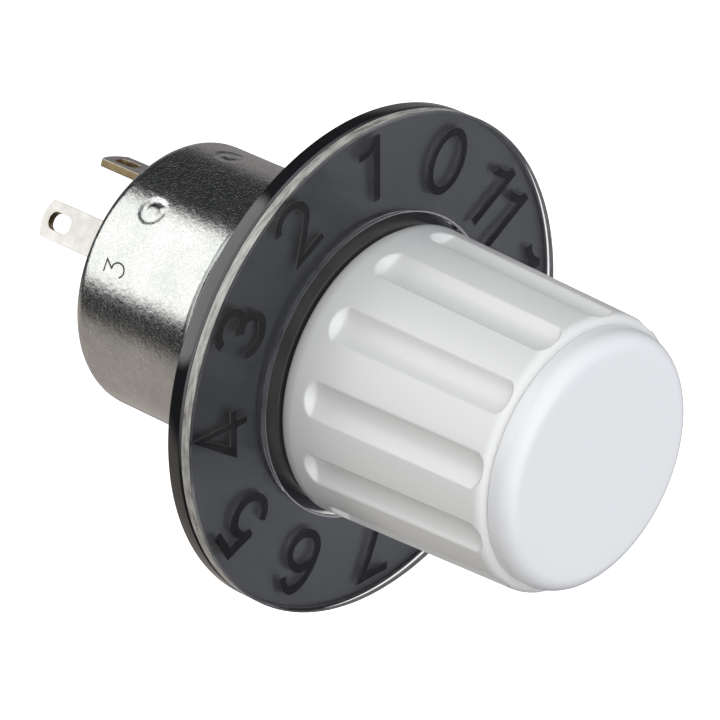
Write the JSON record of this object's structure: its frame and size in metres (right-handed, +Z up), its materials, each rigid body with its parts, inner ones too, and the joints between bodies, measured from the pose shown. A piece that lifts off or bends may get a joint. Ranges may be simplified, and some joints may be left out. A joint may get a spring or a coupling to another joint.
{
  "type": "rotary potentiometer",
  "caption": "Panel potentiometer in a round metal can with solder lugs, a threaded bushing, a number dial that turns with its shaft and a fluted knob.",
  "frame": {"origin": "on the shaft's axis, in the plane of the can's front face, which seats against the back of the panel", "axes": "-Y along the shaft towards the knob, +Z up towards the number that the dial reads, +X to the right as seen from the knob"},
  "size_m": [0.055, 0.0728, 0.055],
  "materials": {
    "can_steel": "drawn steel, zinc plated, faint spangle",
    "bushing_metal": "turned brass, nickel plated",
    "nut_metal": "turned brass, nickel plated",
    "washer_metal": "spring steel, zinc plated",
    "stop_metal": "die cast, bare",
    "seal_rubber": "moulded, matte",
    "element_ceramic": "sintered alumina, unglazed",
    "cermet": "fired thick film",
    "silver_film": "fired silver film",
    "plate_resin": "moulded, glass filled, matte",
    "lug_metal": "sheet brass, tinned, bare at its cut edges",
    "rivet_metal": "tinned",
    "shaft_steel": "turned, bright",
    "ring_steel": "spring steel, phosphated",
    "spring_bronze": "sheet, bright",
    "rotor_resin": "moulded, glass filled",
    "dial_black": "black, polished rim",
    "dial_clear": "clear, polished, printed behind",
    "knob_plastic": "moulded, pale warm grey, satin",
    "cap_plastic": "moulded, pale cool grey, satin",
    "collet_brass": "turned, bright"
  },
  "bodies": {
    "housing": {"housing_can": "can_steel", "threaded_bushing": "bushing_metal", "locating_peg": "can_steel", "stop_ring": "stop_metal", "lock_washer": "washer_metal", "panel_nut": "nut_metal", "shaft_seal": "seal_rubber", "element_disc": "element_ceramic", "resistive_track": "cermet", "conductor_film": "silver_film", "terminal_plate": "plate_resin", "terminal_1": "lug_metal", "terminal_2": "lug_metal", "terminal_3": "lug_metal", "terminal_rivets": "rivet_metal"},
    "spindle": {"shaft": "shaft_steel", "retaining_ring": "ring_steel", "thrust_washer": "spring_bronze", "rotor": "rotor_resin", "wiper_spring": "spring_bronze", "dial_backing": "dial_black", "dial_disc": "dial_clear", "knob_body": "knob_plastic", "knob_cap": "cap_plastic", "collet": "collet_brass", "collet_washer": "washer_metal", "collet_nut": "collet_brass"}
  },
  "joints": [
    {"name": "knob_turn", "type": "hinge", "parent": "housing", "child": "spindle", "pos_m": [0, 0, 0], "axis": [0, 1, 0], "range_deg": [-30, 270]}
  ]
}
